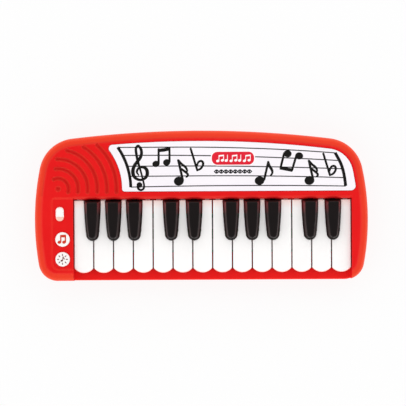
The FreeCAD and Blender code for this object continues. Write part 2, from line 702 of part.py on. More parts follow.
def white_key(index):
    body = new_body("white_key_%02d" % (index + 1))
    left = size("keys_left") + index * size("key_pitch") + size("key_gap") / 2
    right = left + size("key_pitch") - size("key_gap")
    middle = (left + right) / 2
    rear, side_end = size("key_rear"), size("key_side_end")
    corners = [Vector(left, rear, 0), Vector(left, side_end, 0),
               Vector(right, side_end, 0), Vector(right, rear, 0)]
    plan = [Part.LineSegment(corners[0], corners[1]),
            Part.Arc(corners[1], Vector(middle, size("key_front"), 0), corners[2]),
            Part.LineSegment(corners[2], corners[3]),
            Part.LineSegment(corners[3], corners[0])]
    last = pad(body, "Cap", plan, "key_bottom", "white_top - key_bottom")
    waist_left, waist_right = left, right
    for name, neighbour in (("CutLeft", black_centre(index - 1)), ("CutRight", black_centre(index))):
        if neighbour is None:
            continue
        last = pocket(body, name, cut_out_outline(neighbour, rear + 1, 0), "white_top",
                      "white_top - key_bottom")
        if neighbour < middle:
            waist_left = neighbour + size("cut_rear_half")
        else:
            waist_right = neighbour - size("cut_rear_half")

    def front_edge(edge):
        return flat_at(size("white_top"))(edge) and middle_of(edge).y < side_end

    def other_edge(edge):
        return flat_at(size("white_top"))(edge) and middle_of(edge).y >= side_end - 1e-3 and edge.Length > 1
    soft = fillet(body, "FrontRound", last, front_edge, 1.3)
    fillet(body, "EdgeRound", soft, other_edge, 0.5)

    skin = size("key_skin")
    block(body, "FrontHollow", (left + skin, right - skin), (side_end + 1.8, "cut_apex_y - 1.6"),
          ("key_bottom", "white_top - key_skin"), cut=True)
    if waist_right - waist_left > 2 * skin + 2:
        block(body, "RearHollow", (waist_left + skin, waist_right - skin),
              ("cut_apex_y - 2", "key_rear - key_skin"), ("key_bottom", "white_top - key_skin"), cut=True)
    block(body, "Plunger", around(middle, 1.5), around("white_plunger_y", 1.5),
          ("plunger_low", "white_top - 1"))
    waist = (waist_left + waist_right) / 2
    block(body, "Tongue", around(waist, "white_tongue_half"), ("key_rear - 1", "hinge_y - hinge_gap"),
          ("key_bottom", "key_bottom + tongue_thick"))


def black_key(number, centre):
    body = new_body("black_key_%02d" % number)
    rear, margin = size("black_rear"), size("black_margin")
    plan = cut_out_outline(centre, rear, margin)
    pad(body, "Skirt", plan, "key_bottom", "black_waist - key_bottom")
    cap = pad(body, "Cap", plan, "black_waist", "black_top - black_waist", taper="0 - black_slope")

    def rear_corner(edge):
        box = edge.BoundBox
        return box.YMax > rear - 3 and box.ZLength > 3
    soft = fillet(body, "RearCorners", cap, rear_corner, 1.6)
    fillet(body, "TopRound", soft, flat_at(size("black_top")), 0.9)
    block(body, "Hollow", around(centre, 4), ("cut_front_y + 2", "black_rear - 2"),
          ("key_bottom", "black_top - 3.5"), cut=True)
    block(body, "Plunger", around(centre, 1.5), around("black_plunger_y", 1.5),
          ("plunger_low", "black_top - 3"))
    block(body, "Tongue", around(centre, "black_tongue_half"), ("black_rear - 1.5", "hinge_y - hinge_gap"),
          ("black_tongue_low", "black_tongue_low + tongue_thick"))


def key_rail(label, low, high):
    """The screwed-down back of a comb of keys."""
    body = new_body(label)
    block(body, "Bar", (-124, 146), ("hinge_y + hinge_gap", "rail_back"), (low, high))
    rounds(body, "Bores", RAIL_POSTS, (0, FAR), 1.5, cut=True)


def dome_strip(label, row_y, places):
    """Silicone strip with a dome under each key's post."""
    body = new_body(label)
    base = "key_board_low + board_thick"
    block(body, "Strip", (-124, 146), around(row_y, 5.5), (base, base + " + 0.8"))
    for number, x in enumerate(places):
        dome = body.newObject("PartDesign::AdditiveCone", "Dome%d" % number)
        dome.Radius1 = 3.6
        dome.Radius2 = 2.2
        bind(dome, "Height", "dome_top - (%s) - 0.5" % base)
        bind(dome, "Placement.Base.x", x)
        bind(dome, "Placement.Base.y", row_y)
        bind(dome, "Placement.Base.z", base + " + 0.5")


# ---------------------------------------------------------------- controls

def push_button(label, row_y):
    """A domed cap with a retaining flange and a stem."""
    body = new_body(label)
    top = size("deck_top") - size("panel_deep") + size("button_rise")
    edge = size("button_half")
    turned(body, "Button", ((0, 26.8), (3, 26.8), (3, 29.7), (8.3, 29.7), (8.3, 30.9), (edge, 30.9),
                            (edge, top - 1.0), (edge - 0.35, top - 0.35), (edge - 1.1, top - 0.05),
                            (edge - 2.4, top), (0, top)))
    bind(body, "Placement.Base.x", "button_x")
    bind(body, "Placement.Base.y", row_y)


def power_switch_knob():
    body = new_body("power_switch_knob")
    panel = "deck_top - panel_deep"
    half_wide, half_long = 3.95, 7.05

    def stadium(inset, low, high):
        """A slot shape along Y, round at both ends."""
        x, y = size("knob_x"), size("knob_y")
        wide = half_wide - inset
        front, rear = y + low + wide, y + high - wide
        ends = [Vector(x - wide, rear, 0), Vector(x - wide, front, 0),
                Vector(x + wide, front, 0), Vector(x + wide, rear, 0)]
        return [Part.LineSegment(ends[0], ends[1]),
                Part.Arc(ends[1], Vector(x, front - wide, 0), ends[2]),
                Part.LineSegment(ends[2], ends[3]),
                Part.Arc(ends[3], Vector(x, rear + wide, 0), ends[0])]
    base = pad(body, "Base", stadium(0, -half_long, half_long), panel + " + 0.1", "1.5")
    fillet(body, "BaseRound", base, flat_at(size("deck_top") - size("panel_deep") + 1.6), 0.7)
    grip = pad(body, "Grip", stadium(0.6, -2.6, half_long - 0.6), panel + " + 1", "2.0")
    fillet(body, "GripRound", grip, flat_at(size("deck_top") - size("panel_deep") + 3.0), 0.9)
    block(body, "Stem", around("knob_x", 2.2), around("knob_y", 2.5), (26.9, panel + " + 0.6"))
    block(body, "Keeper", around("knob_x", 3.6), around("knob_y", 3.5), (29.9, 31.2))
    block(body, "LeverPocket", around("knob_x", 1.05), around("knob_y", 1.55), (20, 29.05), cut=True)
    lever = new_body("switch_lever")
    block(lever, "Lever", around("knob_x", 1), around("knob_y", 1.5), (26.4, 29))


def control_board():
    body = new_body("control_board")
    block(body, "Board", (-148, -130.5), (-68.5, 4), ("control_board_low", "control_board_low + board_thick"))
    rounds(body, "Bores", CONTROL_POSTS, (0, FAR), 1.5, cut=True)
    top = "control_board_low + board_thick"
    switch = new_body("slide_switch")
    block(switch, "Can", around("knob_x", 3.8), ("knob_y - 4.5", "knob_y + 7.5"), (top, top + " + 4.2"))
    membrane = new_body("button_membrane")
    block(membrane, "Sheet", around("button_x", 5), ("tempo_button_y - 6", "song_button_y + 6"),
          (top, top + " + 0.8"))
    for name, y in (("SongDome", "song_button_y"), ("TempoDome", "tempo_button_y")):
        dome = membrane.newObject("PartDesign::AdditiveCone", name)
        dome.Radius1 = 4.2
        dome.Radius2 = 2.8
        dome.Height = 2.2
        bind(dome, "Placement.Base.x", "button_x")
        bind(dome, "Placement.Base.y", y)
        bind(dome, "Placement.Base.z", top + " + 0.6")


# ---------------------------------------------------------------- electronics

def key_contact_board():
    body = new_body("key_contact_board")
    block(body, "Board", (-124, 146), (-47, -8), ("key_board_low", "key_board_low + board_thick"))
    rounds(body, "Bores", KEY_BOARD_POSTS, (0, FAR), 1.5, cut=True)


def main_circuit_board():
    body = new_body("main_circuit_board")
    block(body, "Board", (-80, 40), (28, 56), ("main_board_low", "main_board_low + board_thick"))
    rounds(body, "Bores", MAIN_BOARD_POSTS, (0, FAR), 1.5, cut=True)


def board_components():
    """The sealed chip, two capacitors, a resonator and two plugs on the main board."""
    top = "main_board_low + board_thick"
    parts = [primitive("Cone", "ChipBlob", (-20, 42, top), Radius1=7.5, Radius2=4.0, Height=1.8)]
    for number, x in enumerate((-62, -52)):
        parts.append(primitive("Cylinder", "Capacitor%d" % number, (x, 44, top), Radius=3.1, Height=9))
    parts.append(primitive("Box", "Resonator", (0, 34, top), Length=8, Width=3.5, Height=3.6))
    for number, (x, y) in enumerate(((24, 46), (-74, 38))):
        parts.append(primitive("Box", "Plug%d" % number, (x, y, top), Length=7, Width=5, Height=5))
    group("board_components", parts)


def speaker():
    seat = size("speaker_seat")
    edge = size("speaker_half")
    frame = new_body("speaker_frame")
    turned(frame, "Basket", ((edge - 3.5, seat), (edge, seat), (edge, seat + 1.2), (edge - 2, seat + 1.2),
                             (12, seat + 7), (12, seat + 8.2), (5, seat + 8.2), (5, seat + 7.2),
                             (11.2, seat + 7.2), (11.2, seat + 6.6), (edge - 3, seat + 0.8)))
    cone = new_body("speaker_cone")
    turned(cone, "Paper", ((0, seat + 3.4), (3, seat + 3.2), (6, seat + 2.4), (edge - 4.3, seat - 1.0),
                           (edge - 4.1, seat - 0.6), (6, seat + 4.4), (4.5, seat + 6.8), (0, seat + 6.8)))
    magnet = new_body("speaker_magnet")
    turned(magnet, "Magnet", ((0, seat + 8.2), (13, seat + 8.2), (14, seat + 9), (14, seat + 13),
                              (13, seat + 14), (0, seat + 14)))
    for body in (frame, cone, magnet):
        bind(body, "Placement.Base.x", "speaker_x")
        bind(body, "Placement.Base.y", "speaker_y")
    washers = []
    screws = []
    for number, (x, y) in enumerate(clamp_places()):
        disc = primitive("Cylinder", "Washer%d" % number, (x, y, "speaker_seat + 1.25"), Radius=4, Height=0.8)
        hole = primitive("Cylinder", "WasherBore%d" % number, (x, y, "speaker_seat"), Radius=1.5, Height=5)
        washers.append(combined("Cut", "WasherCut%d" % number, disc, hole))
        screws.append(screw("SpeakerScrew%d" % number, x, y, "speaker_seat + 2.05", True, 2.5, 1.25, 4))
    group("speaker_washers", washers)
    group("speaker_screws", screws)


# ---------------------------------------------------------------- batteries

def battery_door():
    body = new_body("battery_door")
    top = "foot_height + door_thick"
    panel = block(body, "Panel", ("door_left", "door_right"), ("door_front", "door_rear"),
                  ("foot_height", top))
    fillet(body, "Corners", panel, upright, 1.5)
    post(body, "Lug", "lug_x", "lug_y", ("foot_height", top), 4.5)
    for name, x in (("TabLeft", "tray_left + 12"), ("TabRight", "tray_right - 12")):
        block(body, name, around(x, 4), ("door_pin_y - 0.8", "door_front + 1"), ("foot_height", top))
    for number in range(7):
        start = "tray_left + %d" % (4 + 8 * number)
        block(body, "Rib%d" % number, (start, start + " + 1.2"), ("tray_front + 2", "tray_rear - 2"),
              ("foot_height + 0.7", "foot_height + door_thick + 0.7"))
    post(body, "LugBore", "lug_x", "lug_y", (0, FAR), 1.5, cut=True)
    post(body, "LugSeat", "lug_x", "lug_y", (0, "foot_height + 0.8"), 2.9, cut=True)
    door_screw = new_body("battery_door_screw")
    low = size("foot_height")
    turned(door_screw, "Screw", ((0, low + 0.4), (0.7, low), (2.4, low), (2.6, low + 0.2), (2.6, low + 0.8),
                                 (1.2, low + 0.8), (1.2, 6.6), (0.3, 7.4), (0, 7.4)))
    bind(door_screw, "Placement.Base.x", "lug_x")
    bind(door_screw, "Placement.Base.y", "lug_y")


def battery_contents():
    """Three AA cells lying side by side, every other one turned round, and their contacts."""
    cells, springs, plates = [], [], []
    across = ((0, 1, 0), 90)
    for number in range(3):
        y = "cell_row_y + %d * cell_pitch" % (number - 1)
        turned_round = number == 1
        can_low, nub_low = ("2", "0.7") if turned_round else ("6.75", "55.95")
        can = primitive("Cylinder", "Can%d" % number, ("tray_left + " + can_low, y, "cell_mid"), turn=across,
                        Radius="cell_half", Height=49.2)
        nub = primitive("Cylinder", "Nub%d" % number, ("tray_left + " + nub_low, y, "cell_mid"), turn=across,
                        Radius=2.7, Height=1.3)
        cells.append(combined("Fuse", "Cell%d" % number, can, nub))
        for end, low in (("Left", "tray_left + 0.05"), ("Right", "tray_right - 0.55")):
            plates.append(primitive("Box", "Plate%s%d" % (end, number), (low, "%s - 5" % y, "cell_mid - 5"),
                                    Length=0.5, Width=10, Height=10))
        start = size("tray_right") - 6.65 if turned_round else size("tray_left") + 0.65
        row = size("cell_row_y") + (number - 1) * size("cell_pitch")
        springs.append(spring("Spring%d" % number, start, row))
    group("battery_cells", cells)
    group("battery_springs", springs)
    group("battery_contacts", plates)


def spring(name, start, y):
    """A coil of round wire along X, pressed to its fitted length: a chain of tilted half turns."""
    wire, coil, turns, length = 0.35, 3.2, 3, 6.0
    step = (length - 2 * wire) / (2 * turns)
    reach = math.hypot(coil, step / 2)
    halves = []
    for number in range(2 * turns):
        side = 1 if number % 2 == 0 else -1
        halves.append(Part.Arc(Vector(side * coil, 0, number * step),
                               Vector(0, side * reach, (number + 0.5) * step),
                               Vector(-side * coil, 0, (number + 1) * step)).toShape())
    ring = Part.Wire(Part.makeCircle(wire, Vector(coil, 0, 0), Vector(0, 1, 0)))
    thing = doc.addObject("Part::Feature", name)
    thing.Shape = Part.Wire(halves).makePipeShell([ring], True, False)
    thing.Placement = FreeCAD.Placement(Vector(start + wire, y, size("cell_mid")),
                                        FreeCAD.Rotation(Vector(0, 1, 0), 90))
    return thing


# ---------------------------------------------------------------- wires, screws and feet

def lead(name, points, radius):
    """An insulated wire: straight runs joined by tangent arcs."""
    points = [Vector(*point) for point in points]
    edges = []
    start = points[0]
    for before, corner, after in zip(points, points[1:], points[2:]):
        incoming, outgoing = (corner - before), (after - corner)
        half_turn = incoming.getAngle(outgoing) / 2
        reach = 0.45 * min(incoming.Length, outgoing.Length)
        bend = reach / math.tan(half_turn)
        incoming.normalize()
        outgoing.normalize()
        first, last = corner - incoming * reach, corner + outgoing * reach
        inward = (outgoing - incoming).normalize()
        top = corner + inward * (bend / math.cos(half_turn) - bend)
        edges.append(Part.LineSegment(start, first).toShape())
        edges.append(Part.Arc(first, top, last).toShape())
        start = last
    edges.append(Part.LineSegment(start, points[-1]).toShape())
    ring = Part.Wire(Part.makeCircle(radius, points[0], points[1] - points[0]))
    thing = doc.addObject("Part::Feature", name)
    thing.Shape = Part.Wire(edges).makePipeShell([ring], True, False)
    return thing


def wires():
    """Pairs of wires run side by side, so each pair repeats one route with a shift."""
    def pair(label, points, shift):
        moved = [tuple(a + b for a, b in zip(point, shift)) for point in points]
        group(label, [lead(label.title() + "A", points, 0.6), lead(label.title() + "B", moved, 0.6)])
    board = size("main_board_low") + size("board_thick")
    plug = board + 5.05
    pair("speaker_wires", ((-101.9, 41.4, 14.4), (-96, 41.4, 14.4), (-90, 38, 18), (-84.5, 35.5, 23),
                           (-77.5, 37, 26), (-71, 39.4, 26), (-71, 39.4, plug)), (0, 2.2, 0))
    pair("battery_wires", ((57.3, 26, 15), (51, 26, 15), (46, 30, 19), (40.5, 37, 24),
                           (34, 43.5, 26), (27.5, 47.4, 26), (27.5, 47.4, plug)), (0, 2.2, 0))
    pair("control_wires", ((-134, 1, 22.05), (-134, 1, 26), (-134, 6, 29.2), (-133, 13, 29.6),
                           (-124, 15, 29.6), (-109, 16.4, 29.6), (-92, 19, 29.4), (-79, 24.5, 28.6),
                           (-71.5, 31, 26), (-70, 33, 21), (-70, 33, board + 0.05)), (2.2, -2.2, 0))
    pair("key_board_wires", ((-60, -8.9, 12.05), (-60, -8.9, 17.2), (-58, 0, 18.8), (-59, 10, 18.4),
                             (-60.5, 19, 18.8), (-57.5, 26, 20.4), (-56, 30.5, 20.4),
                             (-56, 30.5, board + 0.05)), (2.2, 0, 0))


def screws():
    case = [screw("CaseScrew%d" % number, x, y, 8, False, 2.9, 1.25, 15)
            for number, (x, y) in enumerate(CASE_POSTS)]
    group("case_screws", case)
    rail = [screw("RailScrew%d" % number, x, y, "rail_high", True, 2.6, 1.25, 13)
            for number, (x, y) in enumerate(RAIL_POSTS)]
    group("rail_screws", rail)
    board = [screw("KeyBoardScrew%d" % number, x, y, "key_board_low + board_thick", True, 2.3, 1.25, 6)
             for number, (x, y) in enumerate(KEY_BOARD_POSTS)]
    board += [screw("MainScrew%d" % number, x, y, "main_board_low + board_thick", True, 2.3, 1.25, 6)
              for number, (x, y) in enumerate(MAIN_BOARD_POSTS)]
    board += [screw("ControlScrew%d" % number, x, y, "control_board_low", False, 2.3, 1.25, 6)
              for number, (x, y) in enumerate(CONTROL_POSTS)]
    group("board_screws", board)


def rubber_feet():
    """Round pads, slightly narrower where they meet the table."""
    feet = []
    for number, (x, y) in enumerate(FEET):
        feet.append(primitive("Cone", "Foot%d" % number, (x, y, 0), Radius1=5.4, Radius2=6.0,
                              Height="foot_height + 0.8"))
    group("rubber_feet", feet)


# ---------------------------------------------------------------- checks and files

def check(thing):
    """Stop if an object failed, or if a feature neither added nor removed anything."""
    if {"Invalid", "Error"} & set(thing.State):
        raise ValueError("%s failed: %s" % (thing.Name, thing.State))
    base = getattr(thing, "BaseFeature", None)
    if thing.isDerivedFrom("PartDesign::Feature") and not thing.isDerivedFrom("PartDesign::Body") and base:
        if abs(thing.Shape.Volume - base.Shape.Volume) < 1e-3:
            raise ValueError("%s changes nothing" % thing.Name)


def write_parts():
    for node in NODES:
        if node.isDerivedFrom("PartDesign::Body"):
            node.Tip.Refine = True
    doc.recompute()
    for thing in doc.Objects:
        check(thing)
    for node in NODES:
        shape = node.Shape
        if shape.isNull() or not shape.isValid():
            raise ValueError(node.Label + " has no valid shape")
    os.makedirs("parts", exist_ok=True)
    for node in NODES:
        node.Shape.exportStep("parts/%s.step" % node.Label)
        print("%-20s solids %2d volume %9.1f" % (node.Label, len(node.Shape.Solids), node.Shape.Volume))


top_case()
bottom_case()
staff_panel()
black_places = [black_centre(index) for index in range(len(NOTES)) if black_centre(index) is not None]
white_places = [size("keys_left") + (index + 0.5) * size("key_pitch") for index in range(len(NOTES))]
for index in range(len(NOTES)):
    white_key(index)
for number, centre in enumerate(black_places, start=1):
    black_key(number, centre)
key_rail("white_key_rail", "rail_low", "rail_seam")
key_rail("black_key_rail", "rail_seam", "rail_high")
dome_strip("white_dome_strip", "white_plunger_y", white_places)
dome_strip("black_dome_strip", "black_plunger_y", black_places)
push_button("song_button", "song_button_y")
push_button("tempo_button", "tempo_button_y")
power_switch_knob()
control_board()
key_contact_board()
main_circuit_board()
board_components()
speaker()
battery_door()
battery_contents()
wires()
screws()
rubber_feet()
write_parts()
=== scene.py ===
import json
import math

import bmesh
import bpy
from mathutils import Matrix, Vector


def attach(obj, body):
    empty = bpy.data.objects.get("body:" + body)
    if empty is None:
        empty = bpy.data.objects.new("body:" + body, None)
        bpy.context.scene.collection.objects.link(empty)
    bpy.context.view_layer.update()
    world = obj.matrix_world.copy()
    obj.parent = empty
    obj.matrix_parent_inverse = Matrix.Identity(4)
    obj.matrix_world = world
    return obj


# A toy electronic keyboard.  The CAD nodes carry the shapes; this script gives every node its
# material, and adds the printing: the music staff on the white inlay and the icons on the
# push buttons.  Lengths below are in millimetres until they reach a mesh.

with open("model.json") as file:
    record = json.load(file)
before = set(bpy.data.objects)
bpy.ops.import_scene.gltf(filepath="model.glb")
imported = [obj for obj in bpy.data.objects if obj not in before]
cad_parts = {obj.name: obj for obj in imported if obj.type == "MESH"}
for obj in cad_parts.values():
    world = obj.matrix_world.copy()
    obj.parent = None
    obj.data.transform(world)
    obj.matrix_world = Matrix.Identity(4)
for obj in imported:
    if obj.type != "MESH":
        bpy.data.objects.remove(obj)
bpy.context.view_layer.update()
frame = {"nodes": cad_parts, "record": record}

MM = 0.001
INLAY_TOP = 33.85
BUTTON_TOP = 34.4
BUTTON_X = -137.4
SONG_BUTTON_Y = -32.95
TEMPO_BUTTON_Y = -52.55
INK = 0.06                    # how far printing stands above what it is on
ICON_SUNK = 0.03              # the icons start this far inside the buttons' crowned tops
ICON_INK = 0.09

# ---------------------------------------------------------------- materials


def rgb(red, green, blue):
    """A linear colour from the usual 0 to 255 display values."""
    def linear(value):
        value /= 255
        return value / 12.92 if value <= 0.04045 else ((value + 0.055) / 1.055) ** 2.4
    return linear(red), linear(green), linear(blue), 1.0


class Shader:
    """One material and its nodes."""

    def __init__(self, name, **sockets):
        self.material = bpy.data.materials.new(name)
        self.material.use_nodes = True
        self.tree = self.material.node_tree
        self.surface = self.tree.nodes["Principled BSDF"]
        self.place = self.tree.nodes.new("ShaderNodeTexCoord").outputs["Object"]
        for socket, value in sockets.items():
            self.surface.inputs[socket.replace("_", " ")].default_value = value

    def node(self, kind, **settings):
        made = self.tree.nodes.new("ShaderNode" + kind)
        for key, value in settings.items():
            setattr(made, key, value)
        return made

    def link(self, source, target):
        self.tree.links.new(source, target)

    def noise(self, scale, detail=2.0, roughness=0.5, stretch=None):
        """Noise fixed to the object; scale is in cycles per metre."""
        made = self.node("TexNoise")
        made.inputs["Scale"].default_value = scale
        made.inputs["Detail"].default_value = detail
        made.inputs["Roughness"].default_value = roughness
        place = self.place
        if stretch:
            mapping = self.node("Mapping")
            mapping.inputs["Scale"].default_value = stretch
            self.link(place, mapping.inputs["Vector"])
            place = mapping.outputs["Vector"]
        self.link(place, made.inputs["Vector"])
        return made.outputs["Fac"]

    def ramp(self, source, *stops):
        """Colours at positions from 0 to 1."""
        made = self.node("ValToRGB")
        elements = made.color_ramp.elements
        while len(elements) < len(stops):
            elements.new(0.5)
        for element, (position, colour) in zip(elements, stops):
            element.position = position
            element.color = colour if len(colour) == 4 else (*colour, 1.0)
        self.link(source, made.inputs["Fac"])
        return made.outputs["Color"]

    def facing(self, letter):
        """How far the surface faces along an axis, from -1 to 1."""
        return self.part_of(self.node("NewGeometry").outputs["Normal"], letter)

    def local(self, letter):
        """Where the surface is along an axis, in the node's own frame."""
        return self.part_of(self.place, letter)

    def part_of(self, vector, letter):
        made = self.node("SeparateXYZ")
        self.link(vector, made.inputs["Vector"])
        return made.outputs[letter]

    def times(self, first, second):
        made = self.node("Math", operation="MULTIPLY")
        self.link(first, made.inputs[0])
        self.link(second, made.inputs[1])
        return made.outputs["Value"]

    def spread(self, source, low, high, start=0.0, end=1.0):
        """A number from low to high as the source goes from start to end."""
        made = self.node("MapRange")
        for socket, value in (("From Min", start), ("From Max", end), ("To Min", low), ("To Max", high)):
            made.inputs[socket].default_value = value
        self.link(source, made.inputs["Value"])
        return made.outputs["Result"]

    def mix(self, kind, factor, first, second):
        made = self.node("Mix", data_type="RGBA", blend_type=kind)
        for socket, value in ((0, factor), (6, first), (7, second)):
            if isinstance(value, bpy.types.NodeSocket):
                self.link(value, made.inputs[socket])
            else:
                made.inputs[socket].default_value = value
        return made.outputs[2]

    def colour(self, source):
        self.link(source, self.surface.inputs["Base Color"])

    def rough(self, source):
        self.link(source, self.surface.inputs["Roughness"])

    def bump(self, source, height, strength=1.0):
        """Relief of the given height in millimetres."""
        made = self.node("Bump")
        made.inputs["Distance"].default_value = height * MM
        made.inputs["Strength"].default_value = strength
        self.link(source, made.inputs["Height"])
        self.link(made.outputs["Normal"], self.surface.inputs["Normal"])


def plastic(name, main, dark, light, rough=(0.24, 0.34), grain=0.01, **sockets):
    """Moulded plastic: faint clouding of the colour, uneven gloss and a fine grain."""
    made = Shader(name, **sockets)
    cloud = made.noise(22, 4, 0.6)
    made.colour(made.ramp(cloud, (0.25, dark), (0.5, main), (0.8, light)))
    made.rough(made.spread(made.noise(160, 3, 0.65), *rough, 0.3, 0.7))
    made.bump(made.noise(1400, 2), grain, 0.5)
    return made


def case_plastic():
    """Red ABS: deep red on the level deck, with painted light and shade: the low front rail painted brighter as
    if lit, the grooves of the fan painted darker as shade, and a painted orange sheen where the outer shoulder
    falls away."""
    made = Shader("case_red", Specular_IOR_Level=0.3, Specular_Tint=(1.0, 0.62, 0.3, 1.0))
    deck = made.ramp(made.noise(18, 4, 0.6), (0.25, rgb(223, 20, 26)), (0.55, rgb(227, 22, 28)),
                     (0.85, rgb(230, 26, 29)))
    # painted light: the low front rail is the case's own red, coloured brighter as it looks lit
    rail = made.ramp(made.noise(18, 4, 0.6), (0.3, rgb(240, 26, 30)), (0.8, rgb(245, 30, 33)))
    # painted shade colour for the grooves of the fan
    groove_shade = made.ramp(made.noise(25, 3, 0.6), (0.3, rgb(199, 13, 20)), (0.8, rgb(206, 16, 23)))
    # painted sheen colours for the outer shoulder: orange, more so lower down
    upper = made.ramp(made.noise(30, 3, 0.6), (0.3, rgb(226, 42, 16)), (0.8, rgb(230, 48, 20)))
    lower = made.ramp(made.noise(30, 3, 0.6), (0.3, rgb(230, 60, 34)), (0.8, rgb(234, 68, 40)))
    height = made.local("Z")
    # mask for the painted light on the rail, below 19 to 22 mm up
    low = made.spread(height, 1.0, 0.0, 19.0 * MM, 22.0 * MM)
    level = made.mix("MIX", low, deck, rail)
    # painted shade: the grooves lie between 31 and 34 mm up, and behind the control panel, and are coloured
    # darker there
    under_deck = made.spread(height, 1.0, 0.0, 33.0 * MM, 33.95 * MM)
    sunk = made.times(under_deck, made.spread(height, 0.0, 1.0, 31.0 * MM, 32.6 * MM))
    behind_panel = made.spread(made.local("Y"), 0.0, 1.0, 9.0 * MM, 10.5 * MM)
    level = made.mix("MIX", made.times(sunk, behind_panel), level, groove_shade)
    # painted sheen: the shoulder, whose normals point away from the middle of the toy and are neither level nor
    # low, is coloured more orange, most of all low down
    outward = made.node("VectorMath", operation="DOT_PRODUCT")
    made.link(made.node("NewGeometry").outputs["Normal"], outward.inputs[0])
    made.link(made.place, outward.inputs[1])
    outer = made.spread(outward.outputs["Value"], 0.0, 1.0, 0.030, 0.036)
    turned = made.spread(made.facing("Z"), 1.0, 0.0, 0.80, 0.97)
    shoulder = made.times(made.times(turned, outer), made.spread(height, 0.0, 1.0, 14.0 * MM, 27.0 * MM))
    shoulder = made.times(shoulder, made.spread(height, 1.0, 0.15, 32.4 * MM, 33.6 * MM))
    shoulder_sheen = made.mix("MIX", made.spread(height, 1.0, 0.0, 29.0 * MM, 31.5 * MM), upper, lower)
    made.colour(made.mix("MIX", shoulder, level, shoulder_sheen))
    made.rough(made.spread(made.noise(140, 3, 0.65), 0.34, 0.44, 0.3, 0.7))
    made.bump(made.noise(1300, 2), 0.012, 0.5)
    return made


def key_plastic(name, tones, painted_flank, painted_rear_flank, **sockets):
    """Key plastic with painted shade and a painted reflection of the case's red on its upright sides, rear end
    and front lip.
    """
    made = Shader(name, **sockets)
    main, dark, light = tones
    face = made.ramp(made.noise(22, 4, 0.6), (0.25, dark), (0.5, main), (0.8, light))
    # painted shade with reflected red: the rear end of the key is coloured darker and warmer
    rear = made.mix("MULTIPLY", made.spread(made.local("Y"), 0.0, 0.75, -3.0 * MM, 5.0 * MM), face,
                    rgb(255, 226, 218))
    # painted reflection of the red rail on the key's front lip
    forward = made.facing("Y")
    lip = made.times(made.spread(forward, 0.9, 0.0, -0.7, -0.15), made.spread(forward, 0.35, 1.0, -1.0, -0.8))
    front = made.mix("MULTIPLY", lip, rear, rgb(255, 184, 168))
    # painted shade and painted red reflection on the upright sides, redder towards the rear
    sideways = made.node("Math", operation="ABSOLUTE")
    made.link(made.facing("X"), sideways.inputs[0])
    sides = made.mix("MIX", made.spread(made.local("Y"), 0.0, 1.0, -9.0 * MM, -2.0 * MM), painted_flank, painted_rear_flank)
    made.colour(made.mix("MIX", made.spread(sideways.outputs["Value"], 0.0, 0.9, 0.55, 0.9), front, sides))
    made.bump(made.noise(1400, 2), 0.008, 0.5)
    return made


def knob_plastic():
    """The power slider, with painted shade: warmer on its low front step and at its rear edge."""
    made = Shader("knob_white", Coat_Weight=0.1, Coat_Roughness=0.1)
    face = made.ramp(made.noise(40, 3), (0.3, rgb(247, 243, 240)), (0.7, rgb(251, 248, 245)))
    # painted shade, tinted warm, on the low front step
    step = made.mix("MULTIPLY", made.spread(made.local("Y"), 1.0, 0.0, -10.9 * MM, -10.3 * MM), face,
                    rgb(255, 212, 196))
    # painted shade, tinted warm, at the rear edge
    end = made.mix("MULTIPLY", made.spread(made.local("Y"), 0.0, 1.0, -2.6 * MM, -0.9 * MM), step,
                   rgb(255, 190, 180))
    made.colour(end)
    made.rough(made.spread(made.noise(160, 3), 0.28, 0.38))
    made.bump(made.noise(1200, 2), 0.008, 0.5)
    return made


def metal(name, colour, rough, stretch=None):
    made = Shader(name, Metallic=1.0)
    tone = made.noise(300, 3, 0.6, stretch)
    made.colour(made.mix("MULTIPLY", made.spread(tone, 0.0, 0.35), colour, (0.55, 0.55, 0.58, 1.0)))
    made.rough(made.spread(made.noise(900, 2, 0.6, stretch), *rough))
    made.bump(made.noise(2500, 2, 0.5, stretch), 0.01, 0.4)
    return made


def matt(name, low, high, rough=(0.6, 0.8), scale=500, height=0.03, **sockets):
    made = Shader(name, **sockets)
    made.colour(made.ramp(made.noise(60, 3), (0.3, low), (0.7, high)))
    made.rough(made.spread(made.noise(scale, 2), *rough))
    made.bump(made.noise(scale, 3), height, 0.6)
    return made


def screen_ink(name, main, dark, light):
    """Coloured printing: smoother than the plastic under it."""
    return plastic(name, main, dark, light, rough=(0.3, 0.4), grain=0.004)


def solder_mask():
    made = Shader("circuit_board", Roughness=0.35, Coat_Weight=0.3)
    lines = made.node("TexBrick")
    lines.inputs["Scale"].default_value = 160
    lines.inputs["Mortar Size"].default_value = 0.03
    lines.inputs["Color1"].default_value = (0.02, 0.14, 0.05, 1)
    lines.inputs["Color2"].default_value = (0.025, 0.17, 0.06, 1)
    lines.inputs["Mortar"].default_value = (0.05, 0.26, 0.10, 1)
    made.link(made.place, lines.inputs["Vector"])
    made.colour(lines.outputs["Color"])
    made.bump(lines.outputs["Fac"], 0.03, 0.5)
    return made


def cell_label():
    """The cells' wrap: black, with a copper-coloured end."""
    made = Shader("cell_wrap", Roughness=0.3, Coat_Weight=0.4)
    along = made.spread(made.local("X"), 0.0, 1.0, 59.0 * MM, 117.0 * MM)
    tone = made.noise(90, 2)
    made.colour(made.mix("MIX", made.spread(along, 0.0, 1.0, 0.74, 0.76),
                         made.ramp(tone, (0.3, (0.012, 0.012, 0.015)), (0.7, (0.03, 0.03, 0.035))),
                         made.ramp(tone, (0.3, (0.45, 0.20, 0.06)), (0.7, (0.55, 0.26, 0.09)))))
    made.bump(made.noise(700, 2), 0.01, 0.3)
    return made


